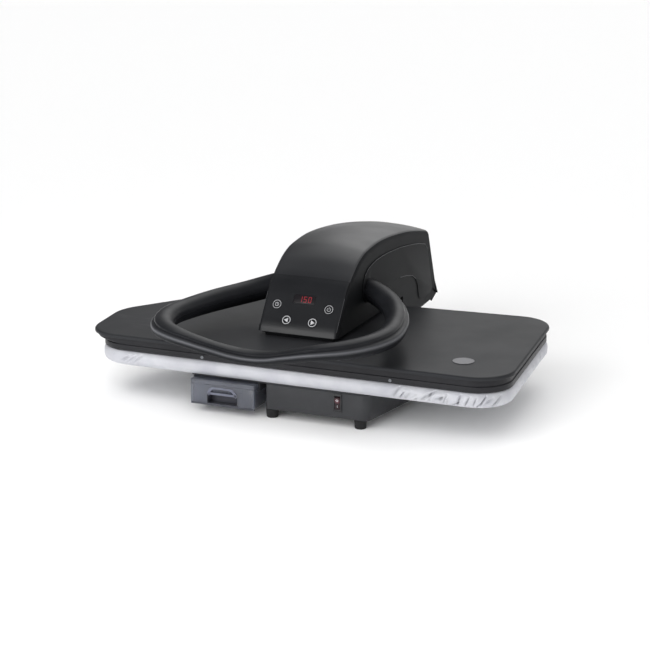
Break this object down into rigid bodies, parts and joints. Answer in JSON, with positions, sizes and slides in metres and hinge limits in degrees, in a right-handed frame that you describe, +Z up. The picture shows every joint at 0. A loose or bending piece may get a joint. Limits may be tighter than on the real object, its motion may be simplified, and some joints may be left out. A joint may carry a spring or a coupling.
{
  "type": "steam ironing press",
  "caption": "Table-top steam ironing press: padded board on a base with a drawer-like water tank, and a hinged heated platen with an arched head and loop handle.",
  "frame": {"origin": "middle of the outline's bounding box, on the plane that the feet stand on", "axes": "+X to the user's right along the platen, +Y back towards the hinge, +Z up"},
  "size_m": [0.7434, 0.6911, 0.254],
  "materials": {
    "satin_black_shell": "satin black",
    "soft_black_grip": "satin black",
    "gloss_black_fascia": "gloss black",
    "charcoal_casing": "satin charcoal",
    "smoke_tank": "clear smoke-grey plastic",
    "silver_cloth": "silver coated cloth",
    "foam": "open foam",
    "zinc_steel": "zinc plated",
    "cast_aluminium": "smooth cast",
    "spring_steel": "oiled",
    "rubber": "matt",
    "felt": "felted",
    "circuit_board": "matt",
    "red_lens": "lit red",
    "dark_lens": "dark red tinted",
    "key_face": "satin",
    "plain_disc": "metallic grey",
    "hose_rubber": "smooth"
  },
  "bodies": {
    "base": {"base_tray": "charcoal_casing", "base_deck": "charcoal_casing", "foot_front_right": "rubber", "foot_front_middle": "rubber", "foot_bay": "rubber", "foot_rear_left": "rubber", "foot_rear_right": "rubber", "foot_neck_left": "rubber", "foot_neck_right": "rubber", "press_board": "zinc_steel", "foam_pad": "foam", "pad_cover": "silver_cloth", "pedestal": "zinc_steel", "hinge_pin": "zinc_steel", "link_anchor_pin": "zinc_steel", "hinge_bush_left": "soft_black_grip", "hinge_bush_right": "soft_black_grip", "lift_spring_left": "spring_steel", "lift_spring_right": "spring_steel", "switch_bezel": "gloss_black_fascia", "pump": "charcoal_casing", "suction_hose": "hose_rubber", "steam_supply_hose": "hose_rubber", "terminal_box": "soft_black_grip", "mains_gland": "rubber"},
    "head": {"top_skin": "satin_black_shell", "heat_guard": "charcoal_casing", "soleplate": "cast_aluminium", "steam_chamber": "cast_aluminium", "heating_element": "zinc_steel", "insulation_mat": "felt", "blank_disc": "plain_disc", "rim_screw_left": "zinc_steel", "rim_screw_right": "zinc_steel", "head_arms": "zinc_steel", "head_hood": "satin_black_shell", "control_fascia": "gloss_black_fascia", "head_plinth": "satin_black_shell", "side_panel_left": "satin_black_shell", "side_panel_right": "satin_black_shell", "display_window": "dark_lens", "display_board": "circuit_board", "steam_pipe": "zinc_steel"},
    "handle": {"handle_top_shell": "soft_black_grip", "handle_bottom_shell": "soft_black_grip", "handle_core": "zinc_steel", "handle_shaft_left": "zinc_steel", "handle_shaft_right": "zinc_steel", "handle_crank": "zinc_steel"},
    "link": {"toggle_link": "zinc_steel"},
    "rocker": {"rocker": "red_lens"},
    "tank": {"water_tank": "smoke_tank", "tank_lid": "smoke_tank", "filler_cap": "charcoal_casing", "tank_valve": "charcoal_casing"},
    "key_down": {"key_down": "key_face"},
    "key_up": {"key_up": "key_face"},
    "key_timer": {"key_timer": "key_face"},
    "key_power": {"key_power": "key_face"}
  },
  "joints": [
    {"name": "head_hinge", "type": "hinge", "parent": "base", "child": "head", "pos_m": [-0.01395, 0.29303, 0.1035], "axis": [-1, 0, 0], "range_deg": [0, 45]},
    {"name": "handle_pivot", "type": "hinge", "parent": "head", "child": "handle", "pos_m": [-0.01395, 0.00303, 0.1745], "axis": [-1, 0, 0], "range_deg": [0, 36]},
    {"name": "link_pivot", "type": "hinge", "parent": "base", "child": "link", "pos_m": [-0.01395, 0.27603, 0.1215], "axis": [-1, 0, 0], "range_deg": [0, 53.1]},
    {"name": "rocker_pivot", "type": "hinge", "parent": "base", "child": "rocker", "pos_m": [0.09125, -0.20737, 0.0407], "axis": [-1, 0, 0], "range_deg": [0, 16]},
    {"name": "tank_slide", "type": "slide", "parent": "base", "child": "tank", "axis": [0, -1, 0], "range_m": [0, 0.12]},
    {"name": "key_down_press", "type": "slide", "parent": "head", "child": "key_down", "axis": [0, 0.8179, -0.5753], "range_m": [0, 0.0008], "stiffness_N_per_m": 300, "springref_m": -0.0005},
    {"name": "key_up_press", "type": "slide", "parent": "head", "child": "key_up", "axis": [0, 0.8179, -0.5753], "range_m": [0, 0.0008], "stiffness_N_per_m": 300, "springref_m": -0.0005},
    {"name": "key_timer_press", "type": "slide", "parent": "head", "child": "key_timer", "axis": [0, 0.8179, -0.5753], "range_m": [0, 0.0008], "stiffness_N_per_m": 300, "springref_m": -0.0005},
    {"name": "key_power_press", "type": "slide", "parent": "head", "child": "key_power", "axis": [0, 0.8179, -0.5753], "range_m": [0, 0.0008], "stiffness_N_per_m": 300, "springref_m": -0.0005}
  ],
  "couplings": [
    {"joint": "handle_pivot", "follows": "head_hinge", "ratio": 0.8},
    {"joint": "link_pivot", "follows": "head_hinge", "ratio": 1.18}
  ]
}
